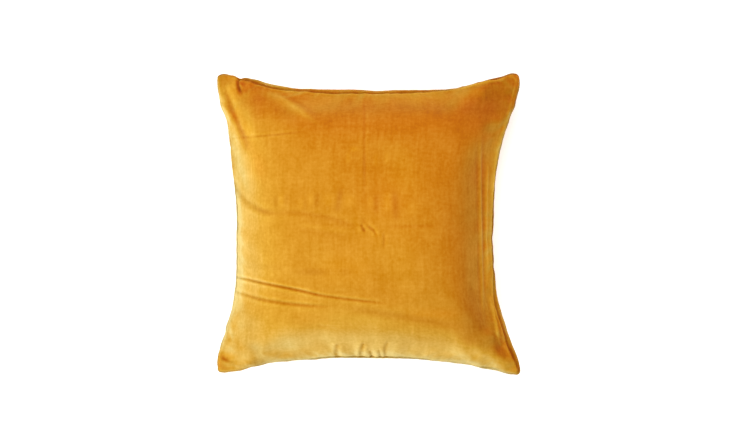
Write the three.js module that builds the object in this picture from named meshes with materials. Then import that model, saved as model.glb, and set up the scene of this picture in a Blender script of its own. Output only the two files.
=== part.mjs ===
// Square velvet cushion cover, filled, lying on its back.
// A front and a back panel meet in one plain sewn seam, and the filling holds them apart, so the whole
// is one closed body. Millimetres, +Z up out of the front panel, +Y towards the cover's top edge. The
// origin is under the middle of the body's box, on the surface that it rests on.

import * as THREE from 'three';

// Thickness: the seam's height over the surface, and how far each panel bulges away from it.
const seamHeight = 68;
const tipDroop = 9; // the four tips hang this much lower than the seam's middle
const frontCrown = 88;
const backCrown = 82; // more than the seam's height, so the back presses flat against the surface
const floorBlend = 6; // height over which the back rounds up from the flat

// A panel bulges as a rounded plateau. A higher power makes it flatter in the middle.
const plateauPower = 2.5;
const droopPower = 4; // keeps the droop near the tips

// Tips of the outline, seen from the front.
const tips = {
  bottomLeft: new THREE.Vector2(-241, -238),
  bottomRight: new THREE.Vector2(242, -241),
  topLeft: new THREE.Vector2(-242, 239),
  topRight: new THREE.Vector2(241, 241),
};
const tipRadius = 9;

// Each side pulls in between its tips. Sides run upwards or to the right: over startRun and endRun the
// side comes in from its first and its last tip, and a higher power keeps it straight for longer first.
const sides = {
  left: { drawIn: 31, startRun: 90, endRun: 102, startPower: 2.2, endPower: 1.5 },
  right: { drawIn: 43.5, startRun: 90, endRun: 106, startPower: 1.75, endPower: 1.8 },
  top: { drawIn: 28, startRun: 94, endRun: 73, startPower: 1.6, endPower: 1.9 },
  bottom: { drawIn: 26, startRun: 86, endRun: 86, startPower: 1.65, endPower: 1.5 },
};

// The seam is a narrow groove. Where its inset is above zero, the back panel rolls round the side, so
// the seam lies that far inside the outline, on the front.
const seamDepth = 2.6;
const seamHalfWidth = 4.5;
const seamInset = { left: 0, right: 4, top: 5.5, bottom: 0 };

// Folds of the front panel, as curves from start past bend to end, seen from the front. A positive depth
// is a valley and a negative one a ridge.
const folds = {
  longCrease: { start: [-212, -82], bend: [-80, -112], end: [58, -131], depth: 4.2, halfWidth: 8 },
  swellOverIt: { start: [-206, -64], bend: [-80, -92], end: [30, -112], depth: -2.4, halfWidth: 14 },
  creaseBelow: { start: [-218, -105], bend: [-150, -121], end: [-72, -127], depth: 3.2, halfWidth: 7 },
  swellBetween: { start: [-212, -94], bend: [-150, -108], end: [-84, -116], depth: -1.8, halfWidth: 6 },
  rightCrease: { start: [-6, -137], bend: [80, -150], end: [152, -164], depth: 1.8, halfWidth: 9 },
  sideHollow: { start: [-224, 50], bend: [-196, 12], end: [-118, 17], depth: 4, halfWidth: 12 },
  upperCrease: { start: [-226, 132], bend: [-160, 143], end: [-104, 150], depth: 2, halfWidth: 8 },
  tipFold: { start: [-208, 234], bend: [-204, 206], end: [-190, 178], depth: 3.2, halfWidth: 9 },
  tipRidge: { start: [-222, 222], bend: [-206, 178], end: [-188, 128], depth: -2.6, halfWidth: 11 },
  shoulderRidge: { start: [-160, 210], bend: [-122, 186], end: [-84, 158], depth: -2.4, halfWidth: 12 },
};
const foldFadeIn = 0.25; // shares of a fold's length over which it comes in and dies away
const foldFadeOut = 0.35;
const foldSteps = 32; // points along each fold's curve

// The net: cells from one side to the other, closer together towards the sides.
const cells = 46;
const sideCrowding = 1.2;
const slopeStep = 0.004; // step that measures the form's slope

const { lerp, clamp, smoothstep } = THREE.MathUtils;

const sideLength = tips.topRight.distanceTo(tips.topLeft);
const roundShare = tipRadius / (sideLength / 2);

// How far a side has pulled in, at a place from -1 to 1 along it.
function sideDrawIn(side, place) {
  const fromStart = ((1 + place) / 2) * sideLength;
  const fromEnd = ((1 - place) / 2) * sideLength;
  const rise = 1 - Math.exp(-((fromStart / side.startRun) ** side.startPower));
  const fall = 1 - Math.exp(-((fromEnd / side.endRun) ** side.endPower));
  return side.drawIn * rise * fall;
}

// Takes the corner of the square -1 to 1 onto a round tip.
function roundTip(u, v) {
  const flat = 1 - roundShare;
  const x = Math.max(Math.abs(u) - flat, 0) / roundShare;
  const y = Math.max(Math.abs(v) - flat, 0) / roundShare;
  const roundX = x * Math.sqrt(1 - (y * y) / 2);
  const roundY = y * Math.sqrt(1 - (x * x) / 2);
  return {
    u: Math.sign(u) * (Math.min(Math.abs(u), flat) + roundShare * roundX),
    v: Math.sign(v) * (Math.min(Math.abs(v), flat) + roundShare * roundY),
  };
}

// Where a point of a panel lies, seen from the front. u and v run from -1 to 1 across the panel.
function planPoint(u, v) {
  const round = roundTip(u, v);
  const right = (1 + round.u) / 2;
  const up = (1 + round.v) / 2;
  const low = new THREE.Vector2().lerpVectors(tips.bottomLeft, tips.bottomRight, right);
  const high = new THREE.Vector2().lerpVectors(tips.topLeft, tips.topRight, right);
  const point = low.lerp(high, up);
  point.x += sideDrawIn(sides.left, round.v) * (1 - right);
  point.x -= sideDrawIn(sides.right, round.v) * right;
  point.y += sideDrawIn(sides.bottom, round.u) * (1 - up);
  point.y -= sideDrawIn(sides.top, round.u) * up;
  return point;
}

// Share of the full crown at a point of a panel: 1 in the middle, 0 at the rim.
function crownShare(u, v) {
  const plateau = (place) => Math.max(1 - Math.abs(place) ** plateauPower, 0);
  return Math.sqrt(plateau(u) * plateau(v));
}

// Rounds the back off against the surface and holds it flat where it presses.
function restOnFloor(z) {
  if (z >= floorBlend) return z;
  if (z <= -floorBlend) return 0;
  return (z + floorBlend) ** 2 / (4 * floorBlend);
}

// The smooth form, before the seam and the folds. The net's rows close up towards the steep sides, but
// not at the tips, where the panel is flatter.
function smoothPoint(s, t, isFront) {
  const u = lerp(Math.sin((s * Math.PI) / 2), s, t * t);
  const v = lerp(Math.sin((t * Math.PI) / 2), t, s * s);
  const plan = planPoint(u, v);
  const rim = seamHeight - tipDroop * (u * v) ** droopPower;
  const share = crownShare(u, v);
  const z = isFront ? rim + frontCrown * share : restOnFloor(rim - backCrown * share);
  return { u, v, rim, position: new THREE.Vector3(plan.x, plan.y, z) };
}

// Direction out of the smooth form.
function outward(s, t, isFront) {
  const inS = clamp(s, slopeStep - 1, 1 - slopeStep);
  const inT = clamp(t, slopeStep - 1, 1 - slopeStep);
  const place = (ds, dt) => smoothPoint(inS + ds, inT + dt, isFront).position;
  const alongS = place(slopeStep, 0).sub(place(-slopeStep, 0));
  const alongT = place(0, slopeStep).sub(place(0, -slopeStep));
  const normal = alongS.cross(alongT).normalize();
  return isFront ? normal : normal.negate();
}

// Strength of the seam's groove at a point of the smooth form, from 0 to 1.
function seamGroove({ u, v, rim, position }) {
  const halfSide = sideLength / 2;
  const borders = [
    { gap: 1 + u, along: v, inset: seamInset.left },
    { gap: 1 - u, along: v, inset: seamInset.right },
    { gap: 1 + v, along: u, inset: seamInset.bottom },
    { gap: 1 - v, along: u, inset: seamInset.top },
  ];
  const strengths = borders.map(({ gap, along, inset }) => {
    const seamRise = frontCrown * crownShare(1 - inset / halfSide, along);
    const away = Math.hypot(gap * halfSide - inset, position.z - rim - seamRise);
    return Math.exp(-((away / seamHalfWidth) ** 2));
  });
  return Math.max(...strengths);
}

const foldCurves = Object.values(folds).map(({ start, bend, end, depth, halfWidth }) => {
  const guides = [start, bend, end].map(([x, y]) => new THREE.Vector2(x, y));
  const points = new THREE.QuadraticBezierCurve(...guides).getSpacedPoints(foldSteps);
  return { points, depth, halfWidth };
});

// Depth of all folds together at a place on the front.
function foldDepth(x, y) {
  const place = new THREE.Vector2(x, y);
  let total = 0;
  for (const { points, depth, halfWidth } of foldCurves) {
    const gaps = points.map((point) => point.distanceTo(place));
    const nearest = Math.min(...gaps);
    const along = gaps.indexOf(nearest) / foldSteps;
    const fade = smoothstep(along, 0, foldFadeIn) * smoothstep(1 - along, 0, foldFadeOut);
    total += depth * fade * Math.exp(-((nearest / halfWidth) ** 2));
  }
  return total;
}

// A point of the finished form: the smooth one, pressed in at the seam and along the folds.
function surfacePoint(s, t, isFront) {
  const smooth = smoothPoint(s, t, isFront);
  const { position } = smooth;
  const fold = isFront ? foldDepth(position.x, position.y) : 0;
  const inwards = seamDepth * seamGroove(smooth) + fold;
  return position.addScaledVector(outward(s, t, isFront), -inwards);
}

// Place of a row of the net, from -1 to 1.
function rowPlace(row) {
  const fromMiddle = (2 * row) / cells - 1;
  return Math.sign(fromMiddle) * (1 - (1 - Math.abs(fromMiddle)) ** sideCrowding);
}

// Both panels as one closed net that shares the points of its rim.
function makeCover() {
  const points = [];
  const frontIndex = [];
  const backIndex = [];
  for (let row = 0; row <= cells; row += 1) {
    for (let column = 0; column <= cells; column += 1) {
      const s = rowPlace(column);
      const t = rowPlace(row);
      const onRim = row === 0 || column === 0 || row === cells || column === cells;
      frontIndex.push(points.push(surfacePoint(s, t, true)) - 1);
      backIndex.push(onRim ? points.length - 1 : points.push(surfacePoint(s, t, false)) - 1);
    }
  }
  const triangles = [];
  for (let row = 0; row < cells; row += 1) {
    for (let column = 0; column < cells; column += 1) {
      // Each cell is split towards its nearest tip, so no triangle folds flat there.
      const splitsUpwards = row < cells / 2 === column < cells / 2;
      const a = row * (cells + 1) + column;
      const b = a + 1;
      const c = b + cells + 1;
      const d = a + cells + 1;
      const halves = splitsUpwards ? [a, b, c, a, c, d] : [a, b, d, b, c, d];
      triangles.push(...halves.map((corner) => frontIndex[corner]));
      triangles.push(...halves.toReversed().map((corner) => backIndex[corner]));
    }
  }
  const geometry = new THREE.BufferGeometry().setFromPoints(points);
  geometry.setIndex(triangles);
  geometry.computeBoundingBox();
  const middle = geometry.boundingBox.getCenter(new THREE.Vector3());
  geometry.translate(-middle.x, -middle.y, -geometry.boundingBox.min.z);
  geometry.computeVertexNormals();
  return geometry;
}

const velvet = new THREE.MeshStandardMaterial({ color: 0xd6902a, roughness: 0.9, metalness: 0 });
const cover = new THREE.Mesh(makeCover(), velvet);
cover.name = 'cushion_cover';

const cushion = new THREE.Group();
cushion.name = 'cushion';
cushion.add(cover);

export default cushion;
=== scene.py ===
import math

import bmesh
import bpy
import numpy as np
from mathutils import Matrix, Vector, noise


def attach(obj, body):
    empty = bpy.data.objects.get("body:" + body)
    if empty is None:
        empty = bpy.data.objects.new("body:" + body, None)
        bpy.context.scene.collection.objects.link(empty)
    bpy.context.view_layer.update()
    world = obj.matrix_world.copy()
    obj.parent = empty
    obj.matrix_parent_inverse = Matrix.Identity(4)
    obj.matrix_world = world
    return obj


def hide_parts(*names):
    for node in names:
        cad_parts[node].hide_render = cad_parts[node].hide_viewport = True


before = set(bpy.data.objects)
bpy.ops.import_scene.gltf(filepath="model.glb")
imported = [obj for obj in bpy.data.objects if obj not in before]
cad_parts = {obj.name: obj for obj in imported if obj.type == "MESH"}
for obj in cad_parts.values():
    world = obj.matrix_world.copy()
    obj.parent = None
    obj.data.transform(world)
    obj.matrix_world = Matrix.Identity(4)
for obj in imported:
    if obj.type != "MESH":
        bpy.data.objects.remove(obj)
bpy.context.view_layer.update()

# a filled square velvet cushion cover, lying on its back under a camera that looks straight down
# shapes are worked out in millimetres, seen from the front, and turned to metres when they go on the mesh

scene = bpy.context.scene
mm = 0.001
tiny = 1e-6                       # keeps a division from failing, and tells the rim from the rest


def toLinear(hexColour):
    channels = [int(hexColour[i:i + 2], 16) / 255 for i in (0, 2, 4)]
    return [c / 12.92 if c <= 0.04045 else ((c + 0.055) / 1.055) ** 2.4 for c in channels] + [1.0]


def smoothStep(value, low, high):
    share = np.clip((value - low) / (high - low), 0, 1)
    return share * share * (3 - 2 * share)


def bell(value, width):
    return np.exp(-(value / width) ** 2)


# camera

shot = {
    "frameWidth": 750,            # the photograph's width in pixels
    "pixelsPerMetre": 632.5,      # at the height of the seam
    "seamHeight": 0.068,
    "distance": 2.5,              # from the seam up to the camera
    "sensor": 36,
    "aside": (0.0100, 0.0065),    # the cushion stands a little left of and below the middle of the picture
}


def makeCamera(settings):
    lens = bpy.data.cameras.new("camera")
    lens.sensor_width = settings["sensor"]
    pictureWidth = settings["frameWidth"] / settings["pixelsPerMetre"]
    lens.lens = settings["sensor"] * settings["distance"] / pictureWidth
    camera = bpy.data.objects.new("camera", lens)
    camera.location = (*settings["aside"], settings["distance"] + settings["seamHeight"])
    scene.collection.objects.link(camera)
    scene.camera = camera
    print("camera: lens", round(lens.lens, 1), "mm")


makeCamera(shot)


# the cover's form: outline, crown and rest

form = {
    "tips": {
        "bottomLeft": (-242, -238),
        "bottomRight": (243.5, -242),
        "topLeft": (-244, 241.5),
        "topRight": (243, 242),
    },
    "tipRadius": 13,
    "side": 483,                  # from tip to tip
    "drawIn": {                   # depth, first and last run, first and last power, along +X or +Y
        "left": (33, 90, 102, 2.2, 1.5),
        "right": (44, 90, 106, 1.75, 1.8),
        "top": (28.5, 84, 73, 1.5, 1.9),
        "bottom": (28.5, 86, 86, 1.6, 1.5),
    },
    "seamHeight": 68,
    "tipDroop": 9,
    "droopPower": 4,
    "fullness": {                 # higher is flatter, with a steeper side
        "left": 3.0,
        "right": 2.1,
        "top": 2.9,
        "bottom": 2.3,
    },
    "frontCrown": 88,
    "backCrown": 82,
    "floorBlend": 6,              # mm over which the underside eases onto the floor
}


def sideDrawIn(name, place):
    depth, startRun, endRun, startPower, endPower = form["drawIn"][name]
    fromStart = (1 + place) / 2 * form["side"]
    fromEnd = (1 - place) / 2 * form["side"]
    startShare = 1 - np.exp(-(fromStart / startRun) ** startPower)
    endShare = 1 - np.exp(-(fromEnd / endRun) ** endPower)
    return depth * startShare * endShare


def roundTips(u, v):
    share = form["tipRadius"] / (form["side"] / 2)
    flat = 1 - share
    x = np.maximum(abs(u) - flat, 0) / share
    y = np.maximum(abs(v) - flat, 0) / share
    roundU = np.sign(u) * (np.minimum(abs(u), flat) + share * x * np.sqrt(1 - y * y / 2))
    roundV = np.sign(v) * (np.minimum(abs(v), flat) + share * y * np.sqrt(1 - x * x / 2))
    return roundU, roundV


def planPlace(u, v):
    u, v = roundTips(u, v)
    right, up = (1 + u) / 2, (1 + v) / 2
    tips = form["tips"]
    low = [tips["bottomLeft"][i] * (1 - right) + tips["bottomRight"][i] * right for i in (0, 1)]
    high = [tips["topLeft"][i] * (1 - right) + tips["topRight"][i] * right for i in (0, 1)]
    x = low[0] * (1 - up) + high[0] * up
    y = low[1] * (1 - up) + high[1] * up
    x = x + sideDrawIn("left", v) * (1 - right) - sideDrawIn("right", v) * right
    y = y + sideDrawIn("bottom", u) * (1 - up) - sideDrawIn("top", u) * up
    return x, y


def crownShare(u, v):
    full = form["fullness"]
    acrossPower = np.where(u < 0, full["left"], full["right"])
    upPower = np.where(v < 0, full["bottom"], full["top"])
    return np.sqrt(np.clip(1 - abs(u) ** acrossPower, 0, 1) * np.clip(1 - abs(v) ** upPower, 0, 1))


def rowSpread(s, samples=800):    # rows lie evenly along the curve of the crown, and closer near the seam
    u = np.sin(np.linspace(0, math.pi / 2, samples))
    rise = form["frontCrown"] * crownShare(u, 0 * u)
    step = np.hypot(np.diff(u) * form["side"] / 2, np.diff(rise))
    arc = np.concatenate([[0], np.cumsum(step)])
    rows = 1 + cloth["rimRows"] * bell(arc[-1] - arc, cloth["rimReach"])
    count = np.concatenate([[0], np.cumsum(step * (rows[1:] + rows[:-1]) / 2)])
    return np.sign(s) * np.interp(abs(s), count / count[-1], u)


def panelSpread(s, t):            # a tip is flat, so its rows are even
    u = rowSpread(s) * (1 - t * t) + s * t * t
    v = rowSpread(t) * (1 - s * s) + t * s * s
    return u, v


# the cloth: two square panels, joined at the rim

cloth = {
    "flatSide": 0.5,              # metres of flat cloth along each side of a panel
    "cells": 92,                  # along each side, doubled after the cloth has settled
    "rimRows": 0.9,               # how many more rows there are beside the seam
    "rimReach": 16,
    "weld": 1e-5,                 # metres within which the rims of the panels join
    "startCrown": 78,
    "spare": 0.028,               # the panels are this much larger than the form they start on
    "pressure": 3.2,
    "frames": 10,
    "quality": 6,
    "stretch": 80,
    "squash": 6,
    "shear": 5,
    "bend": 0.25,
    "cap": 22,                    # no point may leave the form by more than this, in mm
    "smoothing": 30,              # rounds that ease the middle of both faces
    "smoothFactor": 0.5,
    "smoothFrom": (0.62, 0.9),    # full inside the first share of a panel, none past the second
    "fineReach": (1.8, 0.8),      # the mesh is split this near a fold, in half widths, once and then again
    "fineHalf": 3.6,              # only folds as narrow as this split it
}


def makePanels(settings):
    shape = bmesh.new()
    panel = shape.verts.layers.float_vector.new("panel")   # place on the panel, and +1 front or -1 back
    clothMap = shape.loops.layers.uv.new("cloth")          # metres of flat cloth, the back beside the front
    flatSide = settings["flatSide"]
    cells = settings["cells"]
    bmesh.ops.create_grid(shape, x_segments=cells, y_segments=cells, size=1)
    front = shape.verts[:] + shape.edges[:] + shape.faces[:]
    back = bmesh.ops.duplicate(shape, geom=front)["geom"]
    backPoints = {part for part in back if isinstance(part, bmesh.types.BMVert)}
    backFaces = [part for part in back if isinstance(part, bmesh.types.BMFace)]
    bmesh.ops.reverse_faces(shape, faces=backFaces)
    backFaces = set(backFaces)
    for point in shape.verts:
        s, t = point.co[:2]
        onRim = max(abs(s), abs(t)) > 1 - tiny
        point[panel] = (s, t, 0 if onRim else -1 if point in backPoints else 1)
    for face in shape.faces:
        middle = 1.5 if face in backFaces else 0.5
        for corner in face.loops:
            place = corner.vert[panel]
            corner[clothMap].uv = (flatSide * (middle + place.x / 2), flatSide * (1 + place.y / 2))
    places = np.array([point[panel][:] for point in shape.verts])
    u, v = panelSpread(places[:, 0], places[:, 1])
    x, y = planPlace(u, v)
    z = places[:, 2] * settings["startCrown"] * crownShare(u, v)
    for point, place in zip(shape.verts, np.stack([x, y, z], 1) * mm):
        point.co = place
    rim = [point for point in shape.verts if point[panel].z == 0]
    bmesh.ops.remove_doubles(shape, verts=rim, dist=settings["weld"])
    mesh = bpy.data.meshes.new("cushionCover")
    shape.to_mesh(mesh)
    shape.free()
    piece = bpy.data.objects.new("cushionCover", mesh)
    scene.collection.objects.link(piece)
    print("panels:", len(mesh.vertices), "points")
    return piece


def readPoints(mesh):
    flat = np.empty(len(mesh.vertices) * 3)
    mesh.vertices.foreach_get("co", flat)
    return flat.reshape(-1, 3) / mm


def writePoints(mesh, points):
    mesh.vertices.foreach_set("co", (points * mm).ravel())
    mesh.update()


def readPanel(mesh):
    flat = np.empty(len(mesh.vertices) * 3)
    mesh.attributes["panel"].data.foreach_get("vector", flat)
    return flat.reshape(-1, 3)


def readNormals(mesh):
    flat = np.empty(len(mesh.vertices) * 3)
    mesh.vertex_normals.foreach_get("vector", flat)
    return flat.reshape(-1, 3)


def setMarks(mesh, marks):
    for name, values in marks.items():
        mark = mesh.attributes.new(name, "FLOAT", "POINT")
        mark.data.foreach_set("value", values.astype(np.float32))


def settleCloth(piece, settings):
    mesh = piece.data
    start = readPoints(mesh)
    panel = readPanel(mesh)
    rim = piece.vertex_groups.new(name="rim")
    rim.add([int(i) for i in np.flatnonzero(panel[:, 2] == 0)], 1.0, "REPLACE")
    settle = piece.modifiers.new("settle", "CLOTH")
    fabric = settle.settings
    fabric.quality = settings["quality"]
    fabric.tension_stiffness = settings["stretch"]
    fabric.compression_stiffness = settings["squash"]
    fabric.shear_stiffness = settings["shear"]
    fabric.bending_stiffness = settings["bend"]
    fabric.use_pressure = True
    fabric.uniform_pressure_force = settings["pressure"]
    fabric.effector_weights.gravity = 0
    fabric.vertex_group_mass = "rim"
    fabric.shrink_min = -settings["spare"]
    settle.collision_settings.use_collision = False
    settle.point_cache.frame_end = settings["frames"]
    for step in range(1, settings["frames"] + 1):
        scene.frame_set(step)
    graph = bpy.context.evaluated_depsgraph_get()
    settled = readPoints(piece.evaluated_get(graph).data)
    piece.modifiers.remove(settle)
    piece.vertex_groups.remove(rim)
    scene.frame_set(1)
    move = settled - start
    length = np.linalg.norm(move, axis=1, keepdims=True)
    move *= np.minimum(1, settings["cap"] / np.maximum(length, tiny))
    points = start + move
    writePoints(mesh, points)
    farthest, crown = round(float(length.max()), 1), round(float(points[:, 2].max()), 1)
    print("cloth settled: moved up to", farthest, "mm, crown", crown, "mm")


def refine(piece, settings):
    mesh = piece.data
    panel = readPanel(mesh)
    faceShare = 1 - smoothStep(np.maximum(abs(panel[:, 0]), abs(panel[:, 1])), *settings["smoothFrom"])
    face = piece.vertex_groups.new(name="face")
    for i, share in enumerate(faceShare):
        face.add([i], float(share), "REPLACE")
    ease = piece.modifiers.new("ease", "SMOOTH")
    ease.factor = settings["smoothFactor"]
    ease.iterations = settings["smoothing"]
    ease.vertex_group = "face"
    finer = piece.modifiers.new("finer", "SUBSURF")
    finer.levels = finer.render_levels = 1
    graph = bpy.context.evaluated_depsgraph_get()
    refined = bpy.data.meshes.new_from_object(piece.evaluated_get(graph))
    piece.modifiers.clear()
    piece.vertex_groups.clear()
    piece.data = refined
    bpy.data.meshes.remove(mesh)
    refined.name = "cushionCover"
    print("refined:", len(refined.vertices), "points")


# seam, folds, pile marks and painted light and shade, pressed into the settled cloth

seam = {
    "depth": 2.0,
    "halfWidth": 1.7,
    "lip": 0.7,                   # height of the soft lips beside the seam
    "lipGap": 3.4,
    "corner": 8,                  # radius of the seam round a tip
    "inset": {                    # how far the seam lies inside the outline: (place along the side, mm)
        "left": ((-1, 2), (-0.6, 2.2), (0.15, 2.2), (0.22, 1), (1, 1.5)),
        "right": ((-1, 3), (-0.88, 8.5), (-0.75, 8.5), (-0.56, 7.5), (-0.42, 5), (-0.27, 1.8), (1, 1.8)),
        "top": ((-1, 1.5), (-0.87, 1.5), (-0.8, 6), (-0.62, 8.5), (-0.42, 5.5), (-0.23, 8), (-0.03, 6.5),
                (0.17, 6.5), (0.36, 5), (0.5, 2.2), (1, 2)),
        "bottom": ((-1, 2), (-0.6, 2.5), (0.4, 2.5), (1, 2.5)),
    },
    "line": 0.85,                 # how dark the painted shade in the seam groove is
    "lineWidth": 2.1,             # of its shade, across
    "lineLift": 0.75,             # 1 keeps it as narrow up the side, less spreads it
    "edgeLine": 0.45,             # painted shade where the join turns under, at the very edge
    "lipLine": {"left": -0.1, "right": -0.42, "top": -0.42, "bottom": -0.15},   # the lips catch the light
    "stripLine": 0.3,             # painted shade on the strip outside the seam
    "stripSoft": 1.5,
    "readWithin": 1.5,            # the height of the settled cloth is read this near the seam,
    "readPlaces": 81,             # at this many places along a side
    "readSpread": 0.03,
    "gather": 0.8,                # height of the gathers that the thread draws along the seam
    "gatherPeak": 7,              # they stand highest this far from it
    "gatherWidth": 10,
    "gatherFrom": (1, 7),         # they rise between these distances from it
    "gatherLeast": 0.01,          # shares below this are left flat
    "gatherRow": 3.7,             # row of the noise for the front, and its mirror image for the back
    "sideApart": 4,               # sides of the cover between two sides in the noise, so that none repeats
    "rimSheen": {                     # painted sheen where the edge turns over, strongest on the lit sides: (place along the side, tone)
        "left": ((-0.95, 0), (-0.75, 0.5), (0.2, 0.6), (0.35, 0.2), (0.6, 0)),
        "right": ((-0.5, 0), (-0.3, 0.3), (0.5, 0.3), (0.8, 0)),
        "top": ((-0.6, 0), (-0.4, 0.12), (0.4, 0.12), (0.6, 0)),
        "bottom": ((-0.9, 0), (-0.6, 0.4), (0.8, 0.4), (0.95, 0.1)),
    },
    "rimSheenWidth": 10,
}

foldShape = {
    "fadeIn": 0.2,                # shares of the path over which a fold starts and ends
    "fadeOut": 0.3,
    "lipAway": 2.1,               # half widths from a fold to the lips beside it
    "lipHalf": 1.1,
    "darkDepth": 3,               # a valley this deep gets the full painted shade
    "ridgeDark": -0.3,            # and a ridge gets a painted highlight, lighter by no more than this, nor all lines together by more than this
    "leastDark": -0.5,            # nor all lines together by more than this
}

folds = {                         # path, depth (below zero for a ridge), half width and share of the lips
    "longCrease": (((-224, -81), (-128, -95), (-66, -110)), 1.7, 1.9, 0.6),
    "longCreaseEnd": (((-96, -104), (-49, -114), (36, -121)), 1.1, 2.0, 0.4),
    "creaseBelow": (((-222, -102), (-146, -125), (-46, -126)), 1.2, 2.6, 0.4),
    "rightCrease": (((-40, -127), (60, -142), (150, -159)), 0.7, 5.5, 0.2),
    "sideHollow": (((-219, 84), (-205, 14), (-122, 17)), 1.3, 4.4, 0.3),
    "hollowTail": (((-150, 20), (-60, 19), (-8, -8)), 0.55, 3.8, 0.3),
    "middleFan": (((-110, 1), (-59, -6), (-20, -12)), -0.45, 3.8, 0.5),
    "upperCrease": (((-224, 135), (-165, 135), (-90, 144)), 0.5, 1.8, 0.5),
    "tipFold": (((-203, 232), (-210, 221), (-198, 203)), 2.3, 2.5, 0.2),
    "tipRidge": (((-222, 226), (-204, 184), (-180, 130)), -2.2, 7, 0),
    "tipValley": (((-230, 222), (-210, 171), (-186, 106)), 1.6, 5.5, 0.2),
    "shoulderRidge": (((-150, 200), (-114, 182), (-86, 155)), -0.9, 7, 0),
    "shoulderLine": (((-140, 206), (-104, 190), (-70, 160)), 0.5, 4, 0),
    "storageDown": (((-6, 216), (-5, 110), (-5, 30)), 0.26, 2.6, 0.5),
    "storageRight": (((24, -2), (70, -3), (112, 0)), 0.24, 3.2, 0.3),
    "middleDip": (((-8, 12), (-5, 3), (-7, -5)), 0.4, 4, 0.2),
    "middlePucker": (((-11, 1), (-8, -6), (-3, -13)), 0.7, 2.2, 0.6),
    "middleCurl": (((-2, -2), (11, -6), (13, -20)), 0.7, 2.2, 0.6),
    "middleTail": (((24, -12), (26, -24), (23, -38)), 0.45, 2.4, 0.4),
    "cornerMark": (((-80, -156), (-64, -158), (-48, -163)), 0.35, 2.8, 0.4),
    "lowerLeftTip": (((-234, -209), (-222, -216), (-204, -221)), 0.8, 3, 0.3),
    "tipSeamTop": (((141, 211), (186, 224.5), (226, 234.5)), -0.9, 1.7, 0.4),
    "tipSeamEnd": (((220, 233), (234, 237), (234, 221)), -0.9, 1.7, 0.4),
    "tipSeamRight": (((234, 230), (221, 172), (205, 124)), -0.9, 1.7, 0.4),
    "rightCrest": (((188, 104), (184, 15), (188, -66)), -0.7, 1.7, 0.4),
    "rightRidge": (((173, 150), (174, 0), (180, -170)), -0.9, 2.4, 0.5),
    "rightValley": (((180, 160), (179, 0), (186, -160)), 0.5, 2.6, 0.2),
    "lowerRightRidge": (((190, -108), (200, -152), (206, -190)), -1.0, 2.4, 0.4),
    "bottomGather1": (((-46, -186), (-53, -198), (-48, -214)), 1.3, 3.2, 0.5),
    "bottomGather2": (((-5, -185), (-13, -194), (-12, -214)), 1.3, 3, 0.5),
    "bottomGather3": (((1, -198), (6, -204), (5, -216)), 1.1, 2.4, 0.5),
    "bottomGather4": (((15, -196), (20, -204), (18, -216)), 1.1, 2.4, 0.5),
    "bottomGather5": (((33, -182), (23, -192), (28, -214)), 0.7, 2.8, 0.4),
}

dents = {                         # small unevenness of the outline: middle, reach and push, in mm
    "tipNotch": ((-203, 233), (6, 9), (0, -3.2)),
    "tipShoulder": ((-182, 228), (18, 12), (0, 2.2)),
    "topLeftTip": ((-241, 240), (7, 7), (1.6, -2.2)),
    "topLeftDip": ((-112, 218), (16, 12), (0, -1.0)),
    "topDip": ((14, 216), (21, 12), (0, -2.4)),
    "topMiddle": ((126, 220), (20, 12), (0, -1.8)),
    "topRight": ((206, 232), (16, 12), (0, -2.6)),
    "topRightTip": ((243, 241), (8, 8), (-3.2, -1.6)),
    "rightUpper": ((208, 140), (14, 50), (-1.2, 0)),
    "rightDip": ((196, -24), (12, 15), (-1.2, 0)),
    "rightMiddle": ((196, -20), (14, 90), (-2.0, 0)),
    "rightLower": ((196, -118), (12, 18), (-1.2, 0)),
    "rightLow": ((222, -190), (14, 16), (-2.2, 0)),
    "bottomLeft": ((-104, -212), (34, 12), (0, -3.4)),
    "bottomRight": ((108, -213), (32, 12), (0, -2.8)),
    "bottomEnd": ((200, -224), (14, 12), (0, 2.2)),
    "bottomStart": ((-206, -232), (10, 10), (0, -1.2)),
    "lowerLeft": ((-228, -184), (12, 18), (1.6, 0)),
    "leftMiddle": ((-214, -10), (12, 55), (1.2, 0)),
    "leftStep": ((-214, 16), (12, 28), (2, 0)),
    "leftHigh": ((-220, 92), (12, 34), (-3.4, 0)),
    "leftTurn": ((-222, 130), (12, 16), (1.3, 0)),
    "leftUpper": ((-226, 160), (12, 18), (2, 0)),
}

napMarks = (                      # where pressing turned the pile: x, y, length, width, turn, tone
    (-142, 34, 20, 4, 0, -0.5), (-134, 37, 18, 4, 0, 0.6), (-125, 37, 18, 4, 0, -0.4),
    (-102, 32, 15, 5, 0, 0.6), (-98, 30, 18, 3.5, 0, -0.5), (-88, 38, 18, 4.5, 0, 0.6),
    (-79, 37, 22, 4, 4, -0.6), (-60, 37, 18, 8, 0, 0.5), (-45, 36, 34, 4.5, 10, -0.9),
    (-29, 36, 18, 8, 0, 0.5), (3, 34, 15, 4, 0, 0.5), (12, 31, 28, 4, 0, -0.6),
    (29, 34, 28, 6, 0, 0.6), (41, 28, 44, 5, -3, -0.8), (66, 24, 22, 9, 0, 0.3),
    (-22, 115, 7, 6, 0, 0.8), (-31, 102, 16, 3, 0, 0.6), (11, 98, 18, 3, 0, 0.4),
    (28, 101, 16, 3, 0, 0.5), (-6, 90, 34, 3.5, 0, -0.4), (-82, -73, 10, 26, 0, -0.6),
    (-36, -73, 12, 10, 0, -0.4), (-160, -66, 10, 24, 0, -0.4), (-8, -8, 6, 5, 0, -0.8),
    (10, -14, 10, 5, -25, 0.6), (-14, -8, 10, 4, 20, 0.5),
)

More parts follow.
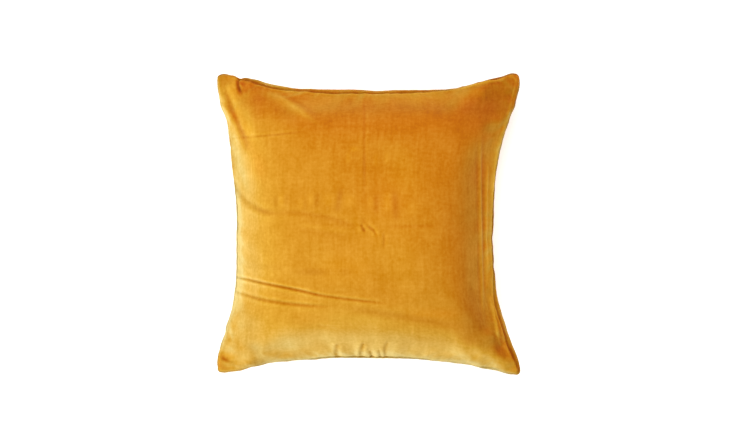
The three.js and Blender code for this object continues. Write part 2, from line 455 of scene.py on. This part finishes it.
pileAndLightAreas = {                       # wider areas: tone from pile lying another way and from painted sheen, brightness as painted light and shade: x, y, length, width, turn, tone, brightness
    "middle": (36, 8, 200, 62, 0, 0, 0.055),
    "topRim": (40, 204, 270, 8, 90, 0.1, 0),
    "topBand": (80, 180, 270, 10, 90, -0.05, -0.08),
    "middleLow": (-36, -68, 80, 24, 90, 0, 0.06),
    "topRightStrip": (168, 221, 64, 5, 78, 0.14, 0.03),
    "topRightTip": (213, 203, 70, 36, 45, -0.05, -0.2),
    "topRight": (150, 195, 90, 50, 90, -0.02, -0.07),
    "topRightDeep": (134, 201, 30, 9, 90, -0.11, -0.02),
    "topRightGlow": (170, 207, 26, 8, 85, 0.06, 0.11),
    "rightUpper": (176, 104, 94, 15, 14, -0.12, -0.04),
    "rightUpperDeep": (184, 161, 34, 12, 0, 0, -0.12),
    "rightUpperEdge": (203, 84, 86, 6, 6, 0.08, 0.28),
    "rightUpperSide": (208, 146, 50, 11, 18, -0.12, 0),
    "rightUpperTip": (214, 180, 30, 16, 25, 0.1, 0),
    "rightFace": (158, -30, 270, 16, 0, 0, -0.09),
    "rightLine": (191, 15, 150, 1.7, 0, -0.06, -0.08),
    "rightEdge": (189, 0, 190, 5, 0, 0.08, 0.16),
    "rightEdgeLow": (186, -70, 56, 6, 0, 0.1, 0.06),
    "rightLowerFace": (166, -138, 64, 16, -10, 0, -0.09),
    "rightLowerEdge": (203, -111, 56, 7, -6, 0.26, 0.06),
    "lowerRight": (193, -146, 90, 10, -13, 0.15, -0.04),
    "lowerRightLine": (199, -150, 66, 2.2, -11, 0.12, 0.12),
    "lowerRightTip": (208, -196, 56, 14, -25, -0.17, -0.16),
    "lowerRightDeep": (206, -197, 40, 7, -20, -0.12, -0.14),
    "lowerRightGlow": (174, -200, 36, 12, -70, 0.12, 0.16),
    "lowerRightBase": (206, -219, 44, 8, -75, 0.18, -0.03),
    "lowerRightFold": (178, -150, 34, 8, -10, 0, -0.1),
    "lowerRightStrip": (224, -182, 100, 5, -22, 0.26, 0),
    "lowerRightRim": (190, -213, 50, 10, -75, 0.25, 0.22),
    "bottomBand": (30, -160, 280, 12, 90, -0.11, -0.03),
    "bottomBandRight": (96, -139, 90, 9, 90, -0.08, 0.03),
    "bottomBandLeft": (-88, -150, 60, 16, 90, -0.07, -0.02),
    "bottomRight": (114, -180, 110, 12, -85, -0.18, -0.06),
    "bottomRightDark": (138, -214, 60, 7, -82, -0.06, -0.14),
    "bottomLeftDark": (-108, -205, 32, 8, 85, -0.07, -0.12),
    "lowerLeftRim": (-150, -196, 90, 14, 80, 0.15, 0.02),
    "lowerLeftGlow": (-146, -188, 44, 9, 0, 0.05, 0.1),
    "lowerLeftDark": (-177, -204, 36, 11, 0, -0.04, -0.14),
    "bottomLeftRim": (-172, -219, 110, 6, 80, -0.07, -0.14),
    "lowerLeftTip": (-232, -220, 28, 14, 0, -0.12, -0.17),
    "lowerLeftTipEdge": (-237, -219, 24, 3.5, 3, -0.22, 0),
    "lowerLeftEdge": (-224, -172, 60, 6, 12, -0.18, -0.12),
    "lowerLeftSide": (-216, -184, 40, 11, 12, 0.23, 0),
    "lowerLeftCorner": (-206, -215, 40, 8, 75, 0.26, 0.02),
    "lowerLeftFace": (-187, -170, 90, 22, 0, 0, -0.12),
    "leftLower": (-174, -86, 140, 18, 0, -0.09, -0.08),
    "leftLowerRim": (-200, -112, 130, 8, 0, 0.18, 0),
    "leftFace": (-168, 32, 140, 19, 0, -0.14, -0.07),
    "leftStep": (-200, 53, 40, 9, -10, -0.12, -0.06),
    "topLeftTip": (-232, 230, 28, 14, 0, 0, -0.12),
    "topLeft": (-184, 210, 50, 18, -60, -0.15, -0.12),
    "topLeftStrip": (-160, 220.5, 100, 5, -76, 0.32, 0.02),
    "topLeftEdge": (-176, 227.5, 44, 2.4, -79, 0, -0.3),
    "topLeftPale": (-162, 204, 36, 8, -75, 0.15, 0.07),
    "topLeftSide": (-230, 196, 44, 11, -14, 0.17, 0.05),
    "earDeep": (-201, 213, 24, 8, 0, -0.16, -0.12),
    "tipPale": (-203, 186, 34, 8, -20, 0.04, 0),
    "tipPaleLow": (-184, 160, 46, 6, -18, 0.12, 0.07),
    "tipDeepLow": (-195, 149, 50, 7, -18, -0.14, -0.13),
    "shoulder": (-134, 188, 60, 20, -60, 0.08, 0),
    "shoulderLine": (-110, 178, 80, 3, -53, 0.1, 0.06),
    "shoulderDeep": (-172, 183, 44, 17, 0, -0.14, -0.08),
    "leftEdge": (-217, 84, 90, 5, -7, -0.5, -0.06),
    "leftUpperEdge": (-218, 112, 56, 8, -8, -0.12, -0.2),
    "leftPale": (-201, 92, 90, 8, -15, 0.22, 0.02),
    "leftDeep": (-180, 113, 84, 14, -15, -0.22, 0),
    "tipDeep": (-202, 148, 66, 8, -20, -0.2, 0),
}


def pathDistance(x, y, path, samples=60):
    steps = np.linspace(0, 1, samples)
    (x0, y0), (x1, y1), (x2, y2) = path
    curveX = (1 - steps) ** 2 * x0 + 2 * steps * (1 - steps) * x1 + steps ** 2 * x2
    curveY = (1 - steps) ** 2 * y0 + 2 * steps * (1 - steps) * y1 + steps ** 2 * y2
    nearest = np.zeros(len(x), int)
    best = np.full(len(x), np.inf)
    for i in range(samples):
        gap = (x - curveX[i]) ** 2 + (y - curveY[i]) ** 2
        closer = gap < best
        best[closer] = gap[closer]
        nearest[closer] = i
    tangentX, tangentY = np.gradient(curveX), np.gradient(curveY)
    size = np.hypot(tangentX, tangentY)
    tangentX, tangentY = (tangentX / size)[nearest], (tangentY / size)[nearest]
    offX, offY = x - curveX[nearest], y - curveY[nearest]
    across = tangentX * offY - tangentY * offX
    beyond = np.maximum(abs(tangentX * offX + tangentY * offY) - size[nearest], 0)
    return np.sign(across) * np.hypot(across, beyond), steps[nearest]


def foldDepth(x, y, row):
    path, depth, half, lipShare = row
    away, along = pathDistance(x, y, path)
    fade = smoothStep(along, 0, foldShape["fadeIn"]) * smoothStep(1 - along, 0, foldShape["fadeOut"])
    lips = bell(abs(away) - foldShape["lipAway"] * half, foldShape["lipHalf"] * half)
    return fade * depth * (bell(away, half) - lipShare * lips)


def seamHeight(gap, along, z, inset):   # read off the settled cloth, where the seam runs
    on = (z > 0) & (abs(gap - inset) < seam["readWithin"])
    places = np.linspace(-1, 1, seam["readPlaces"])
    nearby = bell(along[on][:, None] - places, seam["readSpread"])
    heights = (nearby * z[on][:, None]).sum(0) / np.maximum(nearby.sum(0), tiny)
    return np.interp(along, places, heights)


def seamMarks(u, v, points):
    one = np.ones(len(u))
    sides = {
        "left": (points[:, 0] - planPlace(-one, v)[0], v),
        "right": (planPlace(one, v)[0] - points[:, 0], v),
        "bottom": (points[:, 1] - planPlace(u, -one)[1], u),
        "top": (planPlace(u, one)[1] - points[:, 1], u),
    }
    within, lift, place = [], [], []
    rimSheen = np.zeros(len(u))
    for number, (name, (gap, along)) in enumerate(sides.items()):
        inset = np.interp(along, *zip(*seam["inset"][name]))
        within.append(gap - inset)
        lift.append(points[:, 2] - seamHeight(gap, along, points[:, 2], inset))
        place.append(along * form["side"] / 2 + number * seam["sideApart"] * form["side"])
        # painted sheen along the rim
        rimSheen += np.interp(along, *zip(*seam["rimSheen"][name])) * bell(gap, seam["rimSheenWidth"])
    nearest = np.argmin(within, axis=0)
    lift, place = [np.choose(nearest, values) for values in (lift, place)]
    corner = seam["corner"]
    shortX, shortY = [np.maximum(corner - np.minimum(within[i], within[i + 1]), 0) for i in (0, 2)]
    onTip = (shortX > 0) & (shortY > 0)
    inside = np.where(onTip, corner - np.hypot(shortX, shortY), np.min(within, axis=0))
    away = np.hypot(inside, lift)
    edge = np.hypot(np.min([gap for gap, along in sides.values()], axis=0), points[:, 2])
    groove = bell(away, seam["halfWidth"])
    lips = bell(away - seam["lipGap"], seam["halfWidth"])
    # painted shade in the seam, at the very edge and on the strip outside it, and painted highlights on the
    # lips
    line = seam["line"] * bell(np.hypot(inside, seam["lineLift"] * lift), seam["lineWidth"])
    line += seam["edgeLine"] * bell(edge, seam["lineWidth"])
    line += np.choose(nearest, [seam["lipLine"][name] for name in sides]) * lips * (inside > 0)
    line += seam["stripLine"] * smoothStep(-inside, 0, seam["stripSoft"])
    relief = seam["lip"] * lips - seam["depth"] * groove + gathers(place, away, inside, points[:, 2])
    return relief, line, rimSheen


def gathers(place, away, inside, height):
    peak, width = seam["gatherPeak"], seam["gatherWidth"]
    share = smoothStep(inside, *seam["gatherFrom"]) * (away / peak) ** 2 * np.exp(1 - (away / peak) ** 2)
    heights = np.zeros(len(place))
    for i in np.flatnonzero(share > seam["gatherLeast"]):
        row = math.copysign(seam["gatherRow"], height[i])
        heights[i] = noise.noise(Vector((place[i] / width, row, 0)))
    return 2 * seam["gather"] * heights * share


def pressMarks(x, y, rows):
    total = 0
    for middleX, middleY, length, width, turn, *strength in rows:
        angle = math.radians(turn)
        across = (x - middleX) * math.cos(angle) - (y - middleY) * math.sin(angle)
        along = (x - middleX) * math.sin(angle) + (y - middleY) * math.cos(angle)
        share = np.exp(-(across / width) ** 2 - (2 * along / length) ** 4)
        total = total + np.outer(strength, share)
    return total


def restOnFloor(z):
    blend = form["floorBlend"]
    return np.where(z >= blend, z, np.where(z <= -blend, 0, (z + blend) ** 2 / (4 * blend)))


def splitNearFolds(mesh, settings):
    for reach in settings["fineReach"]:
        points = readPoints(mesh)
        front = readPanel(mesh)[:, 2] > 0
        near = np.zeros(len(points), bool)
        for path, _, half, _ in folds.values():
            if half <= settings["fineHalf"]:
                away = pathDistance(points[:, 0], points[:, 1], path)[0]
                near |= front & (abs(away) < reach * half)
        shape = bmesh.new()
        shape.from_mesh(mesh)
        shape.verts.ensure_lookup_table()
        edges = {edge for i in np.flatnonzero(near) for edge in shape.verts[i].link_edges}
        bmesh.ops.subdivide_edges(shape, edges=list(edges), cuts=1, use_grid_fill=True)
        bmesh.ops.triangulate(shape, faces=[face for face in shape.faces if len(face.verts) > 4])
        shape.to_mesh(mesh)
        shape.free()
    triangles = sum(len(face.vertices) - 2 for face in mesh.polygons)
    print("split near the folds:", len(mesh.vertices), "points,", triangles, "triangles")


def pushOutline(points, rows):
    for (middleX, middleY), (reachX, reachY), (pushX, pushY) in rows:
        offX, offY = (points[:, 0] - middleX) / reachX, (points[:, 1] - middleY) / reachY
        share = np.exp(-offX ** 2 - offY ** 2)
        points[:, 0] += share * pushX
        points[:, 1] += share * pushY


# painted sheen and light: paler where a side falls towards the key light, and on steep sides
def paintSheen(normals, look):
    steep = 1 - abs(normals[:, 2])
    combed = normals[:, :2] @ np.array(look["sheenSide"])
    return combed * (1 - look["steepEase"] * steep) + look["steepSheen"] * steep


def dressForm(piece):
    mesh = piece.data
    splitNearFolds(mesh, cloth)
    points = readPoints(mesh)
    panel = readPanel(mesh)
    normals = readNormals(mesh)
    u, v = panelSpread(panel[:, 0], panel[:, 1])
    front = panel[:, 2] > 0
    scaleFront = form["frontCrown"] / points[:, 2].max()
    scaleBack = form["backCrown"] / -points[:, 2].min()
    points[:, 2] *= np.where(points[:, 2] > 0, scaleFront, scaleBack)
    x, y = points[:, 0].copy(), points[:, 1].copy()
    relief, seamAndCreaseShade, rimSheen = seamMarks(u, v, points)
    nap = pressMarks(x, y, napMarks)[0] * front
    # pile tone with painted sheen, and painted light and shade, over wider areas
    pileAndSheenTone, paintedLightAndShade = pressMarks(x, y, pileAndLightAreas.values()) * front
    for row in folds.values():
        depth = foldDepth(x, y, row) * front
        relief -= depth
        # painted shade in a fold's valley, painted highlight on its ridge
        seamAndCreaseShade += np.clip(depth / foldShape["darkDepth"], foldShape["ridgeDark"], 1)
    pushOutline(points, dents.values())
    points += normals * relief[:, None]
    points[:, 2] += form["seamHeight"] - form["tipDroop"] * (u * v) ** form["droopPower"]
    points[:, 2] = restOnFloor(points[:, 2])
    low, high = points.min(0), points.max(0)
    points -= ((low + high) / 2) * (1, 1, 0)
    writePoints(mesh, points)
    # the slopes of the folds move the painted sheen too
    turned = normals + velvetLook["foldSheen"] * (readNormals(mesh) - normals)
    setMarks(mesh, {
        "paintedSheen": paintSheen(turned, velvetLook),
        "rimSheen": rimSheen,
        "nap": nap,
        "pileAndSheenTone": pileAndSheenTone,
        "paintedLightAndShade": paintedLightAndShade,
        "seamAndCreaseShade": np.clip(seamAndCreaseShade, foldShape["leastDark"], 1),
    })
    mesh.shade_smooth()
    print("dressed: box", [round(float(c), 1) for c in (high - low)], "mm")


# velvet

velvetLook = {
    "tones": {                    # from deep in the pile to open tips, the pale end also painted sheen
        0.0: "c86200",
        0.17: "c97405",
        0.3: "c98315",
        0.43: "c98c20",
        0.57: "ca962b",
        0.74: "cca145",
        0.87: "ceab57",
        1.0: "d0b66d",
    },
    "flatTone": 0.32,
    "sheenSide": (-0.38, -0.47),   # painted sheen and light: paler where a side falls this way, towards the key light, and painted sheen on any steep side, where the side's direction counts for less
    "steepSheen": 0.49,            # and on any steep side,
    "steepEase": 0.7,             # where the combing counts for less
    "sheenTint": "ffedb0",
    "sheen": 0.3,
    "sheenRoughness": 0.3,
    "roughness": 0.9,
    "specular": 0.15,
    "noise": {"Scale": 1.0, "Detail": 2.0, "Roughness": 0.55},
    "layers": {                   # width and height of one patch in mm, and its strength
        "mottle": (70, 50, 0.1),
        "blotch": (22, 18, 0.095),
        "nap": (9, 60, 0.11),
        "warp": (4, 30, 0.085),   # threads of the ground weave, coarser than real so that they show
        "weft": (30, 4, 0.046),
        "pile": (5, 5, 0.15),     # tufts, coarser than real so that they show
    },
    "relief": ("warp", "weft", "pile"),   # the layers that the bump is made of
    "shade": 1.7,                 # the layers move the tone, and this many times as much the brightness,
    "fade": -0.18,                # and this many times the saturation
    "foldSheen": 0.5,              # how much of a fold's slope moves the painted sheen
    "marks": {                    # how far each of the form's marks moves the tone and the brightness
        "paintedSheen": (1, 0),
        "rimSheen": (1, 0),
        "nap": (0.09, 0.15),
        "pileAndSheenTone": (1, 0),
        "paintedLightAndShade": (0, 1),
        "seamAndCreaseShade": (-0.3, -0.36),
    },
    "bump": 0.1,
    "bumpHeight": 0.5,            # mm
}


def addNode(tree, kind, settings=None, inputs=None, links=None):
    node = tree.nodes.new(kind)
    for key, value in (settings or {}).items():
        setattr(node, key, value)
    for key, value in (inputs or {}).items():
        node.inputs[key].default_value = value
    for key, source in (links or {}).items():
        if source is not None:
            tree.links.new(source, node.inputs[key])
    return node


def makeVelvet(look):
    # cotton velvet, cut pile on a woven ground: matt and deep from above, pale with painted sheen where
    # sides fall towards the key light, on steep sides and along the rim
    material = bpy.data.materials.new("cottonVelvet")
    material.use_nodes = True
    tree = material.node_tree
    tree.nodes.clear()
    place = addNode(tree, "ShaderNodeUVMap", {"uv_map": "cloth"}).outputs["UV"]
    sumNode, scaleAndAdd = "ShaderNodeMath", {"operation": "MULTIPLY_ADD"}
    middle = sum(strength for width, length, strength in look["layers"].values()) / 2
    pattern = None
    height = None
    for name, (width, length, strength) in look["layers"].items():
        scale = (1 / (width * mm), 1 / (length * mm), 1)
        scaled = addNode(tree, "ShaderNodeMapping", inputs={"Scale": scale}, links={"Vector": place})
        layer = addNode(tree, "ShaderNodeTexNoise", inputs=look["noise"],
                        links={"Vector": scaled.outputs["Vector"]}).outputs["Fac"]
        pattern = addNode(tree, sumNode, scaleAndAdd, {1: strength, 2: -middle},
                          {0: layer, 2: pattern}).outputs[0]
        if name in look["relief"]:
            height = addNode(tree, sumNode, scaleAndAdd, {1: 1 / len(look["relief"]), 2: 0},
                             {0: layer, 2: height}).outputs[0]
    tone = addNode(tree, sumNode, {"operation": "ADD"}, {1: look["flatTone"]}, {0: pattern}).outputs[0]
    shade = addNode(tree, sumNode, scaleAndAdd, {1: look["shade"], 2: 1}, {0: pattern}).outputs[0]
    for name, (toneShare, shadeShare) in look["marks"].items():
        mark = addNode(tree, "ShaderNodeAttribute", {"attribute_name": name}).outputs["Fac"]
        if toneShare:
            tone = addNode(tree, sumNode, scaleAndAdd, {1: toneShare}, {0: mark, 2: tone}).outputs[0]
        if shadeShare:
            shade = addNode(tree, sumNode, scaleAndAdd, {1: shadeShare}, {0: mark, 2: shade}).outputs[0]
    ramp = addNode(tree, "ShaderNodeValToRGB", links={"Fac": tone})
    stops = ramp.color_ramp.elements
    while len(stops) < len(look["tones"]):
        stops.new(0.5)
    for stop, (position, colour) in zip(stops, look["tones"].items()):
        stop.position = position
        stop.color = toLinear(colour)
    fade = addNode(tree, sumNode, scaleAndAdd, {1: look["fade"], 2: 1}, {0: pattern}).outputs[0]
    colour = addNode(tree, "ShaderNodeHueSaturation",
                     links={"Color": ramp.outputs["Color"], "Value": shade, "Saturation": fade})
    bump = addNode(tree, "ShaderNodeBump", links={"Height": height}, inputs={
        "Strength": look["bump"],
        "Distance": look["bumpHeight"] * mm,
    })
    shader = addNode(tree, "ShaderNodeBsdfPrincipled", inputs={
        "Roughness": look["roughness"],
        "Specular IOR Level": look["specular"],
        "Sheen Weight": look["sheen"],
        "Sheen Roughness": look["sheenRoughness"],
        "Sheen Tint": toLinear(look["sheenTint"]),
    }, links={"Base Color": colour.outputs["Color"], "Normal": bump.outputs["Normal"]})
    addNode(tree, "ShaderNodeOutputMaterial", links={"Surface": shader.outputs["BSDF"]})
    return material


def makeCushion():
    piece = makePanels(cloth)
    settleCloth(piece, cloth)
    refine(piece, cloth)
    dressForm(piece)
    piece.data.materials.append(makeVelvet(velvetLook))
    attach(piece, "root")
    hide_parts("cushion_cover")


makeCushion()


# stage: a white floor, soft light from the lower left and from above the far side, and a white surround

stage = {
    "floorHalf": 20,              # so wide that its far edge lies low in every view
    "floorColour": "f7f7f7",
    "floorRoughness": 0.9,
    "surround": "ffffff",
    "floorGlow": 0.5,             # a lit table, so that the floor is white right up to the cushion
    "surroundStrength": 0.6,
    "lights": {                   # place, size in metres, watts
        "key": ((-1.75, -1.25, 1.0), 1.4, 36),
        "back": ((-0.1, 0.9, 2.0), 1.0, 18),
    },
}


def makeStage(settings):
    shape = bmesh.new()
    bmesh.ops.create_grid(shape, x_segments=1, y_segments=1, size=settings["floorHalf"])
    mesh = bpy.data.meshes.new("floor")
    shape.to_mesh(mesh)
    shape.free()
    floor = bpy.data.objects.new("floor", mesh)
    scene.collection.objects.link(floor)
    paper = bpy.data.materials.new("whitePaper")
    paper.use_nodes = True
    shader = paper.node_tree.nodes["Principled BSDF"]
    shader.inputs["Base Color"].default_value = toLinear(settings["floorColour"])
    shader.inputs["Roughness"].default_value = settings["floorRoughness"]
    shader.inputs["Emission Color"].default_value = toLinear(settings["floorColour"])
    shader.inputs["Emission Strength"].default_value = settings["floorGlow"]
    mesh.materials.append(paper)
    for name, (place, size, watts) in settings["lights"].items():
        lamp = bpy.data.lights.new(name, "AREA")
        lamp.size = size
        lamp.energy = watts
        light = bpy.data.objects.new(name, lamp)
        light.location = place
        light.rotation_euler = (-Vector(place)).to_track_quat("-Z", "Y").to_euler()
        scene.collection.objects.link(light)
    world = bpy.data.worlds.new("surround")
    world.use_nodes = True
    sky = world.node_tree.nodes["Background"]
    sky.inputs["Color"].default_value = toLinear(settings["surround"])
    sky.inputs["Strength"].default_value = settings["surroundStrength"]
    scene.world = world
    scene.view_settings.view_transform = "Standard"
    print("stage:", len(settings["lights"]), "lights")


makeStage(stage)
